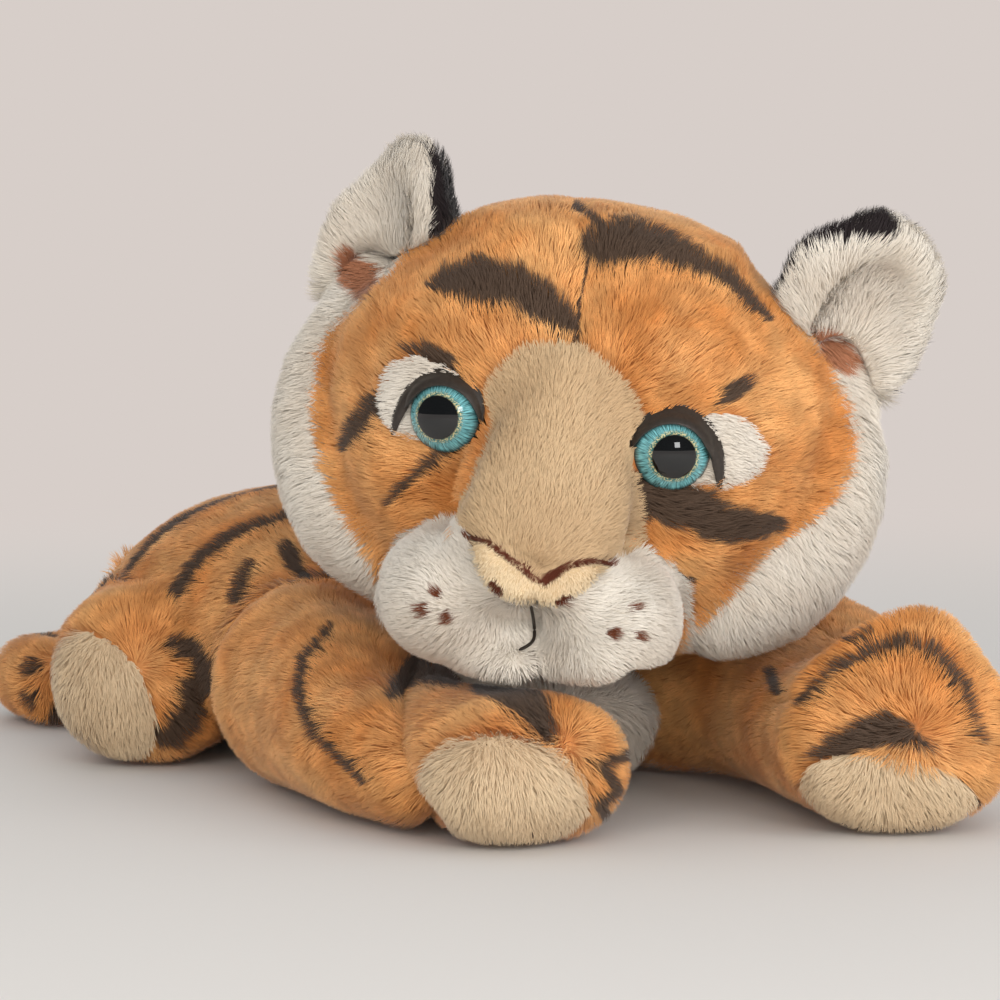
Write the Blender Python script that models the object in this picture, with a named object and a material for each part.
"""Plush tiger cub lying on its belly with its head up, built in metres with +Z up.

The cub faces -Y. Its right side is -X. The toy is sewn from stuffed forms: each is a smooth skin
laid through a few stations along its length, and the smaller ones are cut to the larger ones
that they are sewn against. Heads, legs and tail turn about round roots that sit in round seats.
"""

import math

import bmesh
import bpy
import numpy as np
from mathutils import Matrix, Vector

# Room between pieces that touch
GAP = 0.0003
# Depth by which the weight presses the stuffed forms flat on the floor
PRESSED = 0.0005
# Points closer than this are one point
MERGE = 0.00002
# Room round a turning root in its seat, and half the side of a cutter that takes a whole side away
SEAT_GAP = 0.0009
REACH = 0.6
# Middle of the toy's outline, which is put over the origin
CENTRE_X = 0.0049
CENTRE_Y = -0.01035

# Body
TORSO_LENGTH = 0.266
TORSO_WIDTH = 0.152
TORSO_HEIGHT = 0.096
TORSO_FRONT_Y = -0.106
BELLY_FRONT_HEIGHT = 0.050
BELLY_REAR_HEIGHT = 0.022
BAG_LENGTH = 0.080
BAG_WIDTH = 0.054
BAG_HEIGHT = 0.034

# Neck, a round roll sewn between body and head
NECK_RADIUS = 0.038
NECK_X = 0.019
NECK_HEIGHT = 0.081
NECK_BEHIND_FRONT = 0.019

# Head without its cheek ruffs
HEAD_WIDTH = 0.164
HEAD_HEIGHT = 0.138
HEAD_DEPTH = 0.126
HEAD_AHEAD_OF_NECK = 0.032
HEAD_ABOVE_NECK = 0.037
HEAD_TURN = math.radians(-39)
HEAD_NOD = math.radians(6)
HEAD_ROLL = math.radians(9)

# Snout and face panels
MUZZLE_OVERLAP = 0.001
MUZZLE_TOE_OUT = math.radians(12)
SNOUT_LENGTH = 0.062
SNOUT_WIDTH = 0.060
SNOUT_RISE = 0.034
MUZZLE_WIDTH = 0.048
MUZZLE_HEIGHT = 0.043
MUZZLE_DEPTH = 0.058
CHIN_WIDTH = 0.036
CHIN_HEIGHT = 0.024
CHIN_DEPTH = 0.044
NOSE_WIDTH = 0.046
NOSE_HEIGHT = 0.020
NOSE_DEPTH = 0.024
RUFF_THICKNESS = 0.034
RUFF_DEPTH = 0.046
# Height at which chin and muzzle are pressed flat over the foreleg that they rest on
REST_HEIGHT = 0.0520

# Safety eyes with a clipped lid and a lock washer behind the fabric
EYE_DIAMETER = 0.0235
EYE_SPACING = 0.070
EYE_RAISE = 0.0095
EYE_DOME = 0.0075
EYE_RIM = 0.0018
EYE_TOE_OUT = math.radians(14)
SHANK_DIAMETER = 0.0060
SHANK_LENGTH = 0.016
WASHER_DIAMETER = 0.018
WASHER_THICKNESS = 0.0024
WASHER_SETBACK = 0.0040
LID_THICKNESS = 0.0016
LID_DROP = 0.0035
PATCH_LENGTH = 0.038
PATCH_HEIGHT = 0.026
PATCH_THICKNESS = 0.012
PATCH_OFFSET = 0.005
PATCH_RAISE = 0.003
PATCH_TOE_OUT = math.radians(22)
PATCH_PILE = 0.003

# Ears
EAR_WIDTH = 0.056
EAR_HEIGHT = 0.056
EAR_THICKNESS = 0.026
EAR_HOLLOW_DEPTH = 0.011
LEFT_EAR_TURN = math.radians(28)
LEFT_EAR_LEAN = math.radians(16)
RIGHT_EAR_TURN = math.radians(42)
RIGHT_EAR_LEAN = math.radians(-10)

# Legs and their sole pads
FORELEG_LENGTH = 0.150
FORELEG_THICKNESS = 0.068
HINDLEG_LENGTH = 0.090
HINDLEG_THICKNESS = 0.070
POUCH_DIAMETER = 0.034
POUCH_DEPTH = 0.016

# Tail
TAIL_LENGTH = 0.190
TAIL_THICKNESS = 0.034

# Facets round a form and between two of its stations
TORSO_SIDES = 28
NECK_SIDES = 24
SEAT_SIDES = 18
LIMB_SIDES = 20
SMALL_SIDES = 16
EYE_SIDES = 20
STEPS = 2
CAP_RINGS = 3
# Edges sharper than this stay crisp
SHARP_ANGLE = math.radians(40)
# Squareness of the forms' sections, where 2 is an ellipse
TORSO_FULLNESS = 2.3
HEAD_FULLNESS = 2.25
LEG_FULLNESS = 2.2

# Torso stations from chest to rump: place along the length, half width, height
TORSO_SHARES = (
    (0.09, 0.62, 0.46),
    (0.21, 0.83, 0.60),
    (0.34, 0.95, 0.82),
    (0.52, 1.00, 0.98),
    (0.68, 1.00, 0.98),
    (0.83, 0.88, 0.78),
    (0.91, 0.66, 0.56),
)
TORSO_CAP_SHARE = 0.09
BAG_PLACE_SHARE = 0.52
# Head stations from chin level to crown: height, half width, half depth, place back from the middle
HEAD_SHARES = (
    (-0.38, 0.66, 0.70, -0.02),
    (-0.18, 0.88, 0.92, 0.00),
    (0.05, 1.00, 1.00, 0.02),
    (0.27, 0.91, 0.95, 0.03),
    (0.43, 0.60, 0.68, 0.03),
)
HEAD_CAP_SHARE = 0.12
# Snout: place of its middle, half thickness and cap, then stations from brow to nose, in snout
# lengths down, and shares of its rise and width
SNOUT_FRONT_SHARE = 0.44
SNOUT_SINK_SHARE = 0.45
SNOUT_HALF_SHARE = 0.55
SNOUT_CAP_SHARE = 0.14
SNOUT_SHARES = (
    (0.00, 0.10, 0.30),
    (0.30, 0.42, 0.78),
    (0.62, 0.80, 0.90),
    (0.90, 1.12, 0.86),
)
# Places of the eyes and the snout's top, forward and up from the middle of the head
EYE_FRONT_SHARE = 0.415
PATCH_FRONT_SHARE = 0.440
LID_SLANT_SHARE = 0.12
SNOUT_TOP_SHARE = 0.20
# Places of nose, muzzle and chin, forward and down from the snout's end in their own sizes
NOSE_SHARES = (0.10, 0.21)
MUZZLE_SHARES = (-0.31, 0.355)
CHIN_SHARES = (-0.35, 1.18)
LEFT_EAR_ROOT_SHARES = (0.90, 0.04, 0.22)
RIGHT_EAR_ROOT_SHARES = (0.87, 0.06, 0.20)
# Ear: its middle over the root, its half height, the half height of its hollow and its seam
EAR_MIDDLE_SHARE = 0.33
EAR_HALF_SHARE = 0.67
EAR_HOLLOW_SHARE = 0.50
EAR_SEAM_SHARE = 0.12
# Cheek ruff from ear root to below the cheek: place across, height, back, and thickness
RUFF_SHARES = (
    (0.90, 0.26, 0.10, 0.60),
    (1.00, 0.06, 0.06, 0.95),
    (0.97, -0.12, 0.02, 1.10),
    (0.82, -0.27, -0.06, 1.05),
    (0.60, -0.34, -0.12, 0.80),
)
RUFF_CAP_SHARE = 0.33
# Caps of a leg and of the tail at root and end
LEG_CAP_SHARES = (0.05, 0.33)
TAIL_CAP_SHARES = (0.11, 0.50)
# Leg stations from the root: place out and ahead in leg lengths, half width, half height
RIGHT_FORELEG_SHARES = (
    (0.00, 0.00, 0.96, 0.96),
    (0.02, 0.24, 0.98, 0.86),
    (0.06, 0.50, 0.94, 0.70),
    (0.03, 0.74, 1.00, 0.68),
    (-0.01, 0.93, 1.06, 0.69),
)
LEFT_FORELEG_SHARES = (
    (0.00, 0.00, 0.96, 0.96),
    (0.16, 0.28, 1.00, 1.08),
    (0.21, 0.56, 1.06, 0.88),
    (0.13, 0.88, 1.08, 0.76),
    (0.02, 1.19, 1.10, 0.92),
)
HINDLEG_SHARES = (
    (0.00, 0.00, 0.96, 0.96),
    (0.15, 0.22, 0.98, 0.96),
    (0.32, 0.45, 0.94, 0.92),
    (0.45, 0.64, 0.94, 0.90),
)
# Sole seams: distance from the last station in leg thicknesses, and the way out, ahead and up
RIGHT_FORE_SOLE_SHARES = (0.20, (0.48, 0.72, -0.50))
LEFT_FORE_SOLE_SHARES = (0.28, (-0.42, 0.56, -0.76))
HIND_SOLE_SHARES = (0.22, (0.90, 0.34, -0.30))
# Tail stations from its root: place to the left and behind in tail lengths, and thickness
TAIL_SHARES = (
    (0.00, 0.00, 0.96),
    (-0.05, 0.14, 0.98),
    (-0.20, 0.20, 0.94),
    (-0.33, 0.13, 0.96),
    (-0.34, -0.01, 1.00),
)
# Joint places on the torso, as shares of its half width and length
SHOULDER_SHARES = (0.70, 0.289)
HIP_SHARES = (0.53, 0.78)
TAIL_ROOT_SHARES = (0.00, 0.992)
TAIL_ROOT_HEIGHT = 0.034


def make_material(name, colour, roughness, metallic=0.0):
    """A plain finish with the part's colour, roughness and metallic value."""
    material = bpy.data.materials.new(name)
    material.use_nodes = True
    shader = material.node_tree.nodes["Principled BSDF"]
    shader.inputs["Base Color"].default_value = (*colour, 1.0)
    shader.inputs["Roughness"].default_value = roughness
    shader.inputs["Metallic"].default_value = metallic
    material.diffuse_color = (*colour, 1.0)
    return material


def make_object(name, points, faces):
    """A smooth mesh object whose faces point outward."""
    mesh = bpy.data.meshes.new(name)
    mesh.from_pydata([tuple(point) for point in points], [], faces)
    work = bmesh.new()
    work.from_mesh(mesh)
    bmesh.ops.recalc_face_normals(work, faces=work.faces)
    work.to_mesh(mesh)
    work.free()
    obj = bpy.data.objects.new(name, mesh)
    bpy.context.scene.collection.objects.link(obj)
    return obj


def smooth_rows(rows, steps):
    """Rows of numbers on a smooth curve through the given rows."""
    rows = np.array(rows, float)
    ends = np.vstack([2 * rows[0] - rows[1], rows, 2 * rows[-1] - rows[-2]])
    curve = []
    for start in range(len(rows) - 1):
        before, here, there, after = ends[start : start + 4]
        for step in range(steps):
            t = step / steps
            bend = 2 * before - 5 * here + 4 * there - after
            turn = 3 * here - before - 3 * there + after
            curve.append(here + ((there - before) * t + bend * t**2 + turn * t**3) / 2)
    curve.append(rows[-1])
    return np.array(curve)


def ring(centre, across, lift, half_width, half_height, sides, fullness):
    """One closed ring of points, an ellipse that a fullness over 2 makes squarer."""
    points = []
    for side in range(sides):
        angle = 2 * math.pi * side / sides
        cosine = math.cos(angle)
        sine = math.sin(angle)
        x = math.copysign(abs(cosine) ** (2 / fullness), cosine) * half_width
        y = math.copysign(abs(sine) ** (2 / fullness), sine) * half_height
        points.append(centre + across * x + lift * y)
    return points


def stuffed(name, stations, caps, sides, grow=0.0, fullness=2.0, upward=(0, 0, 1)):
    """A stuffed form through stations of centre, half width and half height, with round ends."""
    rows = smooth_rows(stations, STEPS)
    centres = [Vector(row[:3]) for row in rows]
    tangents = []
    for index in range(len(rows)):
        ahead = centres[min(index + 1, len(rows) - 1)]
        behind = centres[max(index - 1, 0)]
        tangents.append((ahead - behind).normalized())
    rings = []
    cap_angles = [math.pi / 2 * step / CAP_RINGS for step in range(CAP_RINGS, 0, -1)]
    for end, cap, direction in ((0, caps[0], -1), (len(rows) - 1, caps[1], 1)):
        across = Vector(upward).cross(tangents[end]).normalized()
        lift = tangents[end].cross(across)
        cap_rings = []
        for angle in cap_angles:
            centre = centres[end] + tangents[end] * (direction * (cap + grow) * math.sin(angle))
            wide = (rows[end][3] + grow) * math.cos(angle)
            high = (rows[end][4] + grow) * math.cos(angle)
            if angle == cap_angles[0]:
                cap_rings.append([centre])
            else:
                cap_rings.append(ring(centre, across, lift, wide, high, sides, fullness))
        rings.append(cap_rings if direction < 0 else cap_rings[::-1])
    body = []
    for row, centre, tangent in zip(rows, centres, tangents):
        across = Vector(upward).cross(tangent).normalized()
        lift = tangent.cross(across)
        body.append(ring(centre, across, lift, row[3] + grow, row[4] + grow, sides, fullness))
    return skin(name, rings[0] + body + rings[1], sides)


def skin(name, rings, sides):
    """A closed object over rings of points, whose first and last rings are single points."""
    points = []
    starts = []
    for loop in rings:
        starts.append(len(points))
        points.extend(loop)
    faces = []
    for index in range(len(rings) - 1):
        low = starts[index]
        high = starts[index + 1]
        for side in range(sides):
            nxt = (side + 1) % sides
            if len(rings[index]) == 1:
                faces.append((low, high + nxt, high + side))
            elif len(rings[index + 1]) == 1:
                faces.append((low + side, low + nxt, high))
            else:
                faces.append((low + side, low + nxt, high + nxt, high + side))
    return make_object(name, points, faces)


def ball(name, centre, radii, sides=LIMB_SIDES, grow=0.0, turn=None):
    """A round form with the given half sizes, its poles on its own upright axis."""
    turn = turn or Matrix.Identity(3)
    rows = sides // 2
    rings = []
    for row in range(rows + 1):
        angle = math.pi * (row / rows - 1 / 2)
        height = math.sin(angle)
        reach = math.cos(angle)
        loop = []
        for side in range(sides if 0 < row < rows else 1):
            around = 2 * math.pi * side / sides
            unit = Vector((math.cos(around) * reach, math.sin(around) * reach, height))
            local = Vector(unit[axis] * (radii[axis] + grow) for axis in range(3))
            loop.append(Vector(centre) + turn @ local)
        rings.append(loop)
    return skin(name, rings, sides)


def turned(name, profile, place, sides=EYE_SIDES):
    """A form turned about its own +Z axis from (radius, height) points, from bottom to top."""
    rings = []
    for radius, height in profile:
        loop = []
        for side in range(sides if radius > 0 else 1):
            around = 2 * math.pi * side / sides
            local = Vector((math.cos(around) * radius, math.sin(around) * radius, height))
            loop.append(place @ local)
        rings.append(loop)
    return skin(name, rings, sides)


def block(name, low, high, place=None):
    """A box between two corners."""
    corners = []
    for x in (low[0], high[0]):
        for y in (low[1], high[1]):
            for z in (low[2], high[2]):
                corner = Vector((x, y, z))
                corners.append(place @ corner if place else corner)
    faces = [(0, 1, 3, 2), (4, 6, 7, 5), (0, 4, 5, 1), (2, 3, 7, 6), (0, 2, 6, 4), (1, 5, 7, 3)]
    return make_object(name, corners, faces)


def combine(target, tools, operation):
    """Cuts, keeps or joins the target with each tool, which is used up."""
    for obj in (target, *tools):
        triangulate(obj)
    for tool in tools:
        modifier = target.modifiers.new("sew", "BOOLEAN")
        modifier.object = tool
        modifier.operation = operation
        bpy.context.view_layer.update()
        graph = bpy.context.evaluated_depsgraph_get()
        mesh = bpy.data.meshes.new_from_object(target.evaluated_get(graph))
        target.modifiers.remove(modifier)
        used = target.data
        target.data = mesh
        bpy.data.meshes.remove(used)
        bpy.data.objects.remove(tool)
    tidy(target)
    return target


def triangulate(obj):
    """Splits bent faces in flat ones, so that each cut has only flat faces to work on."""
    work = bmesh.new()
    work.from_mesh(obj.data)
    bmesh.ops.triangulate(work, faces=work.faces)
    work.to_mesh(obj.data)
    work.free()


def cut(target, *tools):
    return combine(target, tools, "DIFFERENCE")


def keep(target, *tools):
    return combine(target, tools, "INTERSECT")


def join(target, *tools):
    return combine(target, tools, "UNION")


def tidy(obj):
    """Merges points that a cut has left almost on each other."""
    work = bmesh.new()
    work.from_mesh(obj.data)
    bmesh.ops.remove_doubles(work, verts=work.verts, dist=MERGE)
    bmesh.ops.dissolve_degenerate(work, edges=work.edges, dist=MERGE)
    work.to_mesh(obj.data)
    work.free()


def half_space(name, point, normal):
    """A block that fills the space beyond a plane through the point, on its normal's side."""
    turn = Vector(normal).normalized().to_track_quat("Z", "Y").to_matrix().to_4x4()
    place = Matrix.Translation(point) @ turn
    return block(name, (-REACH, -REACH, 0), (REACH, REACH, REACH), place)


def flat_under(obj, height):
    """Cuts a form off flat at the height at which it is pressed on something."""
    return cut(obj, half_space("under", Vector((0, 0, height)), Vector((0, 0, -1))))


def finish(obj, name, material, pivot=None):
    """Names a piece, gives it its material and sets its origin on its joint."""
    obj.name = name
    obj.data.name = name
    obj.data.materials.clear()
    obj.data.materials.append(material)
    centre = Vector((CENTRE_X, CENTRE_Y, 0))
    pivot = Vector(pivot) if pivot else centre
    obj.data.transform(Matrix.Translation(-pivot))
    obj.location = pivot - centre
    obj.data.shade_smooth()
    obj.data.set_sharp_from_angle(angle=SHARP_ANGLE)
    return obj


def torso_form(name, grow=0.0):
    """The stuffed body, deepest over the hips, lying on the floor."""
    stations = []
    for along, wide, high in TORSO_SHARES:
        half_height = TORSO_HEIGHT * high / 2
        y = TORSO_FRONT_Y + TORSO_LENGTH * along
        stations.append((0, y, half_height - PRESSED, TORSO_WIDTH * wide / 2, half_height))
    cap = TORSO_LENGTH * TORSO_CAP_SHARE
    return stuffed(name, stations, (cap, cap), TORSO_SIDES, grow, TORSO_FULLNESS)


def torso_place(shares, height):
    """A place on the body from shares of its half width and its length."""
    across, along = shares
    return Vector((TORSO_WIDTH / 2 * across, TORSO_FRONT_Y + TORSO_LENGTH * along, height))


def neck_place():
    return Vector((NECK_X, TORSO_FRONT_Y + NECK_BEHIND_FRONT, NECK_HEIGHT))


def head_frame():
    """The head's own frame: its middle, +X to its left, -Y out of its face, +Z to its crown."""
    turn = Matrix.Rotation(HEAD_TURN, 4, "Z")
    centre = neck_place() + turn @ Vector((0, -HEAD_AHEAD_OF_NECK, HEAD_ABOVE_NECK))
    nod = Matrix.Rotation(HEAD_NOD, 4, "X")
    roll = Matrix.Rotation(HEAD_ROLL, 4, "Y")
    return Matrix.Translation(centre) @ turn @ nod @ roll


def in_head(obj):
    """Moves a form from the head's own frame to its place on the toy."""
    obj.data.transform(head_frame())
    return obj


def head_form(name, grow=0.0):
    stations = []
    for high, wide, deep, back in HEAD_SHARES:
        centre = (0, HEAD_DEPTH * back, HEAD_HEIGHT * high)
        stations.append((*centre, HEAD_WIDTH * wide / 2, HEAD_DEPTH * deep / 2))
    cap = HEAD_HEIGHT * HEAD_CAP_SHARE
    return stuffed(name, stations, (cap, cap), TORSO_SIDES, grow, HEAD_FULLNESS, (0, 1, 0))


def snout_form(name, grow=0.0):
    """The raised bridge from between the brows down to the nose."""
    top = HEAD_HEIGHT * SNOUT_TOP_SHARE
    front = HEAD_DEPTH * SNOUT_FRONT_SHARE
    stations = []
    for down, rise, wide in SNOUT_SHARES:
        out = front + SNOUT_RISE * (rise - SNOUT_SINK_SHARE)
        centre = (0, -out, top - SNOUT_LENGTH * down)
        stations.append((*centre, SNOUT_WIDTH * wide / 2, SNOUT_RISE * SNOUT_HALF_SHARE))
    cap = SNOUT_LENGTH * SNOUT_CAP_SHARE
    return stuffed(name, stations, (cap, cap), SMALL_SIDES, grow, upward=(0, 1, 0))


def eye_frame(side):
    """An eye's own frame: its middle at the rim, +Z out of the dome."""
    middle = Vector((side * EYE_SPACING / 2, -HEAD_DEPTH * EYE_FRONT_SHARE, EYE_RAISE))
    place = Matrix.Translation(middle)
    toe = Matrix.Rotation(side * EYE_TOE_OUT, 4, "Z")
    return place @ toe @ Matrix.Rotation(math.pi / 2, 4, "X")


def dome_profile(radius, height, grow=0.0):
    """The eye's dome from its rim to its middle, a part of a sphere."""
    sphere = (radius**2 + height**2) / (2 * height)
    open_angle = math.asin(min(1, radius / sphere))
    points = []
    for step in range(EYE_SIDES // 4, -1, -1):
        angle = open_angle * 4 * step / EYE_SIDES
        out = (sphere + grow) * math.sin(angle)
        up = (sphere + grow) * math.cos(angle) - sphere + height
        points.append((out, up))
    return points


def eye_form(name, side, grow=0.0):
    """A safety eye: domed face, rim and the shank that goes through the fabric."""
    radius = EYE_DIAMETER / 2
    profile = [
        (0, -SHANK_LENGTH - grow),
        (SHANK_DIAMETER / 2 + grow, -SHANK_LENGTH - grow),
        (SHANK_DIAMETER / 2 + grow, -EYE_RIM - grow),
        (radius + grow, -EYE_RIM - grow),
    ]
    return turned(name, profile + dome_profile(radius, EYE_DOME, grow), eye_frame(side))


def washer_form(name, side, grow=0.0):
    """The toothless lock washer that grips the shank behind the fabric."""
    low = -WASHER_SETBACK - WASHER_THICKNESS - grow
    high = -WASHER_SETBACK + grow
    radius = WASHER_DIAMETER / 2 + grow
    profile = [(0, low), (radius, low), (radius, high), (0, high)]
    return turned(name, profile, eye_frame(side))


def lid_form(name, side, grow=0.0):
    """A moulded lid, the upper crescent of a thin shell over the dome."""
    radius = EYE_DIAMETER / 2 + GAP + LID_THICKNESS
    height = EYE_DOME + GAP + LID_THICKNESS
    profile = [(0, -EYE_RIM - grow), (radius + grow, -EYE_RIM - grow)]
    shell = turned(name, profile + dome_profile(radius, height, grow), eye_frame(side))
    edge = Vector((0, LID_DROP, 0))
    slant = Vector((-side * LID_SLANT_SHARE, 1, 0)).normalized()
    place = eye_frame(side) @ edge
    normal = eye_frame(side).to_3x3() @ slant
    return keep(shell, half_space("above", place - normal * grow, normal))


def patch_form(name, side, grow=0.0):
    """The shallow bowl round an eye, lined with short pile."""
    across = side * (EYE_SPACING / 2 + PATCH_OFFSET)
    centre = Vector((across, -HEAD_DEPTH * PATCH_FRONT_SHARE, EYE_RAISE + PATCH_RAISE))
    radii = (PATCH_LENGTH / 2, PATCH_THICKNESS / 2, PATCH_HEIGHT / 2)
    turn = Matrix.Rotation(side * PATCH_TOE_OUT, 3, "Z")
    return ball(name, centre, radii, LIMB_SIDES, grow, turn)


def snout_end(across, shares, depth, height):
    """A place off the snout's lower end, forward and down by shares of a piece's own size."""
    down, rise, _ = SNOUT_SHARES[-1]
    out = HEAD_DEPTH * SNOUT_FRONT_SHARE + SNOUT_RISE * (rise - SNOUT_SINK_SHARE)
    low = HEAD_HEIGHT * SNOUT_TOP_SHARE - SNOUT_LENGTH * down
    return Vector((across, -out - depth * shares[0], low - height * shares[1]))


def muzzle_form(name, side, grow=0.0):
    across = side * (MUZZLE_WIDTH / 2 - MUZZLE_OVERLAP)
    centre = snout_end(across, MUZZLE_SHARES, MUZZLE_DEPTH, MUZZLE_HEIGHT)
    radii = (MUZZLE_WIDTH / 2, MUZZLE_DEPTH / 2, MUZZLE_HEIGHT / 2)
    turn = Matrix.Rotation(side * MUZZLE_TOE_OUT, 3, "Z")
    return ball(name, centre, radii, LIMB_SIDES, grow, turn)


def chin_form(name, grow=0.0):
    centre = snout_end(0, CHIN_SHARES, CHIN_DEPTH, CHIN_HEIGHT)
    radii = (CHIN_WIDTH / 2, CHIN_DEPTH / 2, CHIN_HEIGHT / 2)
    return ball(name, centre, radii, SMALL_SIDES, grow)


def ruff_form(name, side, grow=0.0):
    """A cheek ruff that follows the side of the face from the ear to below the cheek."""
    stations = []
    for across, high, back, thick in RUFF_SHARES:
        centre = (side * HEAD_WIDTH / 2 * across, HEAD_DEPTH * back, HEAD_HEIGHT * high)
        half = RUFF_THICKNESS / 2 * thick
        stations.append((*centre, RUFF_DEPTH / 2 * thick, half))
    cap = RUFF_THICKNESS * RUFF_CAP_SHARE
    return stuffed(name, stations, (cap, cap), SMALL_SIDES, grow, upward=(side, 0, 0))


def ear_place(side):
    """An ear's own frame: its root, +Z to its tip, -Y out of its hollow."""
    shares = LEFT_EAR_ROOT_SHARES if side > 0 else RIGHT_EAR_ROOT_SHARES
    lean = LEFT_EAR_LEAN if side > 0 else RIGHT_EAR_LEAN
    turn = LEFT_EAR_TURN if side > 0 else RIGHT_EAR_TURN
    root = Vector(
        (side * HEAD_WIDTH / 2 * shares[0], HEAD_DEPTH * shares[1], HEAD_HEIGHT * shares[2])
    )
    upright = Matrix.Translation(root) @ Matrix.Rotation(side * lean, 4, "Y")
    return upright @ Matrix.Rotation(side * turn, 4, "Z")


def ear_form(name, side, grow=0.0):
    """A cupped ear, round at its tip, with its root inside the head."""
    place = ear_place(side)
    centre = place @ Vector((0, 0, EAR_HEIGHT * EAR_MIDDLE_SHARE))
    radii = (EAR_WIDTH / 2, EAR_THICKNESS / 2, EAR_HEIGHT * EAR_HALF_SHARE)
    turn = place.to_3x3()
    form = ball(name, centre, radii, LIMB_SIDES, grow, turn)
    front = EAR_THICKNESS - EAR_HOLLOW_DEPTH
    middle = place @ Vector((0, -front, EAR_HEIGHT * EAR_MIDDLE_SHARE))
    inner_width = EAR_WIDTH - EAR_THICKNESS
    inner = (inner_width / 2, EAR_THICKNESS / 2, EAR_HEIGHT * EAR_HOLLOW_SHARE)
    return cut(form, ball("hollow", middle, inner, LIMB_SIDES, -grow, turn))


def make_body(materials):
    """Body, white belly panel and the pellet bag between them."""
    front = Vector((0, TORSO_FRONT_Y, BELLY_FRONT_HEIGHT))
    rear = Vector((0, TORSO_FRONT_Y + TORSO_LENGTH, BELLY_REAR_HEIGHT))
    below = (rear - front).cross(Vector((1, 0, 0))).normalized()
    middle = front.lerp(rear, BAG_PLACE_SHARE)
    radii = (BAG_WIDTH / 2, BAG_LENGTH / 2, BAG_HEIGHT / 2)
    turn = (-below).to_track_quat("Z", "Y").to_matrix()
    seats = [(neck_place(), NECK_RADIUS), (tail_place(), TAIL_THICKNESS / 2)]
    for side in (-1, 1):
        seats.append((leg_pivot(SHOULDER_SHARES, side, FORELEG_THICKNESS), FORELEG_THICKNESS / 2))
        seats.append((leg_pivot(HIP_SHARES, side, HINDLEG_THICKNESS), HINDLEG_THICKNESS / 2))
    torso = flat_under(torso_form("torso"), 0)
    for centre, radius in seats:
        cut(torso, ball("seat", centre, (radius,) * 3, SEAT_SIDES, SEAT_GAP))
    panel = torso.copy()
    panel.data = torso.data.copy()
    bpy.context.scene.collection.objects.link(panel)
    cut(torso, half_space("belly", front, below))
    keep(panel, half_space("belly", front + below * GAP, below))
    for piece in (torso, panel):
        cut(piece, ball("pocket", middle, radii, SEAT_SIDES, GAP, turn))
    bag = ball("bag", middle, radii, SEAT_SIDES, turn=turn)
    finish(torso, "torso", materials["fur"])
    finish(panel, "belly_panel", materials["white"])
    finish(bag, "belly_pellet_bag", materials["pellets"])


def make_neck(materials):
    neck = ball("neck", neck_place(), (NECK_RADIUS,) * 3, NECK_SIDES)
    finish(neck, "neck", materials["fur"], neck_place())


def make_head(materials):
    """The head with its seat for the neck and the holes that the eyes are pressed through."""
    pivot = neck_place()
    head = head_form("head")
    for side in (-1, 1):
        cut(
            head,
            patch_form("bowl", side, GAP),
            eye_form("eye", side, GAP),
            lid_form("lid", side, GAP),
            washer_form("washer", side, GAP),
        )
    in_head(head)
    cut(head, ball("seat", pivot, (NECK_RADIUS,) * 3, NECK_SIDES, SEAT_GAP))
    finish(head, "head", materials["fur"], pivot)
    snout = cut(snout_form("snout"), head_form("head", GAP))
    for side in (-1, 1):
        cut(snout, patch_form("bowl", side, GAP), eye_form("eye", side, GAP))
    finish(in_head(snout), "snout_bridge", materials["beige"], pivot)
    centre = snout_end(0, NOSE_SHARES, NOSE_DEPTH, NOSE_HEIGHT)
    nose = ball("nose", centre, (NOSE_WIDTH / 2, NOSE_DEPTH / 2, NOSE_HEIGHT / 2), SMALL_SIDES)
    cut(nose, head_form("head", GAP), snout_form("snout", GAP))
    for side in (-1, 1):
        cut(nose, muzzle_form("muzzle", side, GAP))
    finish(in_head(nose), "nose", materials["nose"], pivot)
    chin = cut(chin_form("chin"), head_form("head", GAP))
    for side in (-1, 1):
        cut(chin, muzzle_form("muzzle", side, GAP))
    finish(flat_under(in_head(chin), REST_HEIGHT), "chin", materials["white"], pivot)


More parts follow.
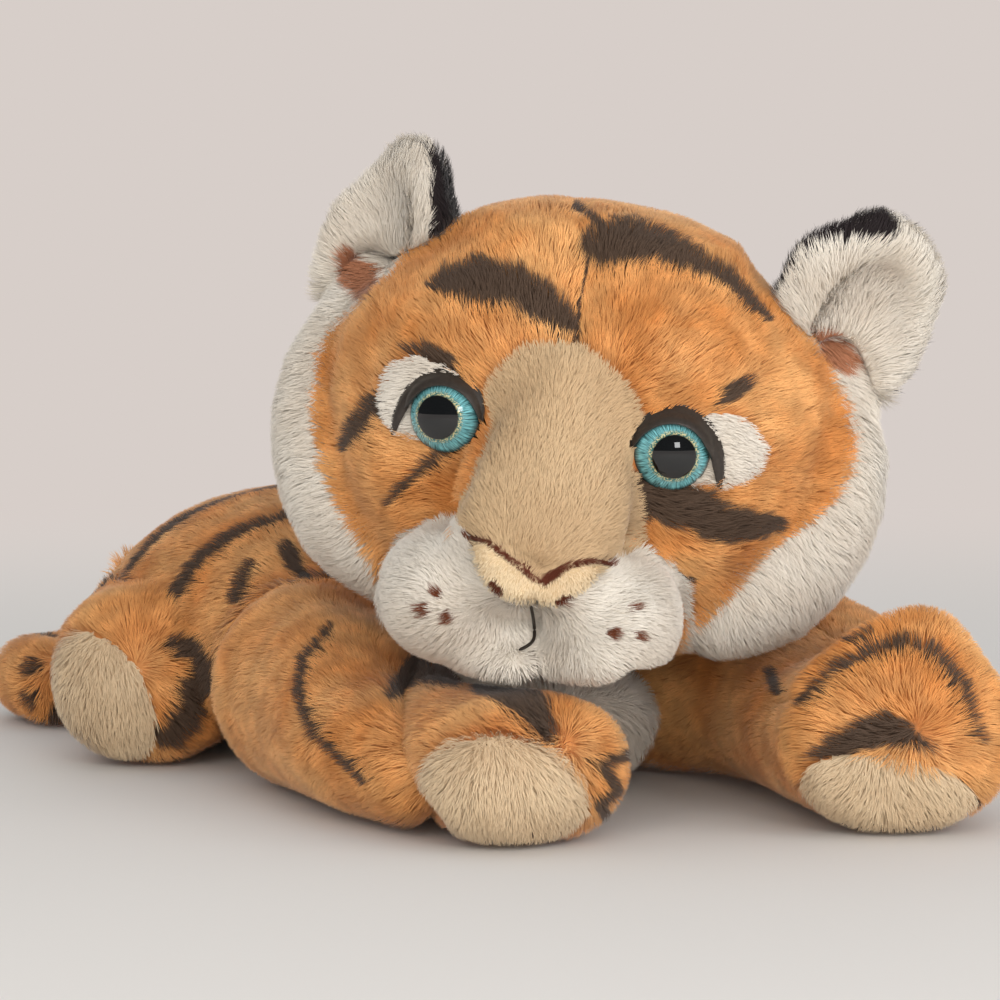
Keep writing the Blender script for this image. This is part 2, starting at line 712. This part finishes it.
def make_face_side(side, word, materials):
    """The pieces that the head has on both sides."""
    pivot = neck_place()
    muzzle = cut(
        muzzle_form("muzzle", side), head_form("head", GAP), snout_form("snout", GAP)
    )
    cut(muzzle, half_space("middle", Vector((side * GAP / 2, 0, 0)), Vector((-side, 0, 0))))
    flat_under(in_head(muzzle), REST_HEIGHT)
    finish(muzzle, "muzzle_pad_" + word, materials["white"], pivot)
    ruff = cut(ruff_form("ruff", side), head_form("head", GAP), muzzle_form("muzzle", side, GAP))
    finish(in_head(ruff), "cheek_ruff_" + word, materials["white"], pivot)
    patch = keep(patch_form("patch", side), head_form("head"))
    cut(patch, patch_form("bowl", side, -PATCH_PILE), eye_form("eye", side, GAP))
    cut(patch, lid_form("lid", side, GAP))
    inward = Vector((-side, 0, 0))
    seam = Vector((side * (EYE_SPACING / 2 + PATCH_OFFSET), 0, 0))
    cut(patch, half_space("inner", seam, inward))
    finish(in_head(patch), "eye_patch_" + word, materials["white"], pivot)
    eye = in_head(eye_form("eye", side))
    finish(eye, "eye_" + word, materials["eye"], pivot)
    lid = cut(lid_form("lid", side), eye_form("eye", side, GAP))
    cut(lid, snout_form("snout", GAP))
    finish(in_head(lid), "eyelid_" + word, materials["lid"], pivot)
    washer = cut(washer_form("washer", side), eye_form("eye", side, GAP))
    finish(in_head(washer), "eye_washer_" + word, materials["washer"], pivot)
    split = ear_place(side)
    point = split @ Vector((0, EAR_THICKNESS * EAR_SEAM_SHARE, 0))
    behind = split.to_3x3() @ Vector((0, 1, 0))
    for name, colour, facing in (("front", "white", behind), ("back", "black", -behind)):
        ear = ear_form("ear", side)
        cut(ear, half_space("half", point - facing * GAP / 2, facing))
        cut(ear, head_form("head", GAP), ruff_form("ruff", side, GAP))
        finish(in_head(ear), "ear_" + name + "_" + word, materials[colour], pivot)


def leg_pivot(shares, side, thickness):
    """The middle of a leg's round root, at the height at which the leg lies on the floor."""
    place = torso_place(shares, thickness / 2 - PRESSED)
    place.x *= side
    return place


def leg_form(name, pivot, side, length, thickness, shares, grow=0.0):
    """A stuffed leg lying on the floor from its root to its paw."""
    stations = []
    for out, ahead, wide, high in shares:
        half_height = thickness * high / 2
        x = pivot.x + side * length * out
        y = pivot.y - length * ahead
        stations.append((x, y, half_height - PRESSED, thickness * wide / 2, half_height))
    caps = (length * LEG_CAP_SHARES[0], thickness * LEG_CAP_SHARES[1])
    return stuffed(name, stations, caps, LIMB_SIDES, grow, LEG_FULLNESS)


def make_leg(name, side, place_shares, length, thickness, shares, sole_shares, materials):
    """A leg on its round root, with a sole pad and the pellet pouch behind the pad."""
    pivot = leg_pivot(place_shares, side, thickness)
    form = (pivot, side, length, thickness, shares)
    last = shares[-1]
    distance, facing = sole_shares
    normal = Vector((side * facing[0], -facing[1], facing[2])).normalized()
    paw_middle = Vector(
        (
            pivot.x + side * length * last[0],
            pivot.y - length * last[1],
            thickness * last[3] / 2,
        )
    )
    point = paw_middle + normal * thickness * distance
    pad = keep(leg_form("pad", *form), half_space("beyond", point + normal * GAP, normal))
    leg = cut(leg_form("leg", *form), torso_form("body", GAP))
    join(leg, ball("root", pivot, (thickness / 2,) * 3, SEAT_SIDES))
    cut(leg, half_space("beyond", point, normal))
    turn = normal.to_track_quat("Z", "Y").to_matrix()
    radii = (POUCH_DIAMETER / 2, POUCH_DIAMETER / 2, POUCH_DEPTH)
    cut(leg, ball("pocket", point, radii, SMALL_SIDES, GAP, turn))
    pouch = ball("pouch", point, radii, SMALL_SIDES, turn=turn)
    cut(pouch, half_space("beyond", point, normal))
    for piece in (leg, pad):
        flat_under(piece, 0)
    finish(leg, name, materials["fur"], pivot)
    finish(pad, name + "_sole_pad", materials["beige"], pivot)
    finish(pouch, name + "_pellet_pouch", materials["pellets"], pivot)


def tail_place():
    return torso_place(TAIL_ROOT_SHARES, TAIL_ROOT_HEIGHT)


def make_tail(materials):
    """The tail, curled round beside the right hip with its tip on the floor."""
    pivot = tail_place()
    floor_height = TAIL_THICKNESS / 2 - PRESSED
    stations = []
    for index, (out, behind, thick) in enumerate(TAIL_SHARES):
        drop = min(1, index / 2)
        z = pivot.z + (floor_height - pivot.z) * drop
        half = TAIL_THICKNESS * thick / 2
        place = (pivot.x + TAIL_LENGTH * out, pivot.y + TAIL_LENGTH * behind, z)
        stations.append((*place, half, half))
    caps = [TAIL_THICKNESS * share for share in TAIL_CAP_SHARES]
    tail = cut(stuffed("tail", stations, caps, SMALL_SIDES), torso_form("body", GAP))
    join(tail, ball("root", pivot, (TAIL_THICKNESS / 2,) * 3, SMALL_SIDES))
    flat_under(tail, 0)
    finish(tail, "tail", materials["fur"], pivot)


def main():
    for obj in list(bpy.data.objects):
        bpy.data.objects.remove(obj)
    materials = {
        "fur": make_material("orange_plush", (0.56, 0.24, 0.07), 0.9),
        "white": make_material("white_plush", (0.75, 0.72, 0.68), 0.9),
        "beige": make_material("beige_plush", (0.62, 0.45, 0.28), 0.9),
        "black": make_material("black_plush", (0.02, 0.015, 0.015), 0.9),
        "nose": make_material("tan_velour", (0.65, 0.47, 0.29), 0.8),
        "eye": make_material("turquoise_plastic", (0.10, 0.35, 0.38), 0.1),
        "lid": make_material("grey_plastic", (0.06, 0.05, 0.05), 0.4),
        "washer": make_material("white_nylon", (0.80, 0.80, 0.78), 0.5),
        "pellets": make_material("pellet_bag_cloth", (0.70, 0.68, 0.62), 0.9),
    }
    make_body(materials)
    make_neck(materials)
    make_head(materials)
    for side, word in ((1, "left"), (-1, "right")):
        make_face_side(side, word, materials)
        fore_shares = LEFT_FORELEG_SHARES if side > 0 else RIGHT_FORELEG_SHARES
        fore_sole = LEFT_FORE_SOLE_SHARES if side > 0 else RIGHT_FORE_SOLE_SHARES
        fore = (SHOULDER_SHARES, FORELEG_LENGTH, FORELEG_THICKNESS, fore_shares, fore_sole)
        hind = (HIP_SHARES, HINDLEG_LENGTH, HINDLEG_THICKNESS, HINDLEG_SHARES, HIND_SOLE_SHARES)
        make_leg("foreleg_" + word, side, *fore, materials)
        make_leg("hindleg_" + word, side, *hind, materials)
    make_tail(materials)


main()
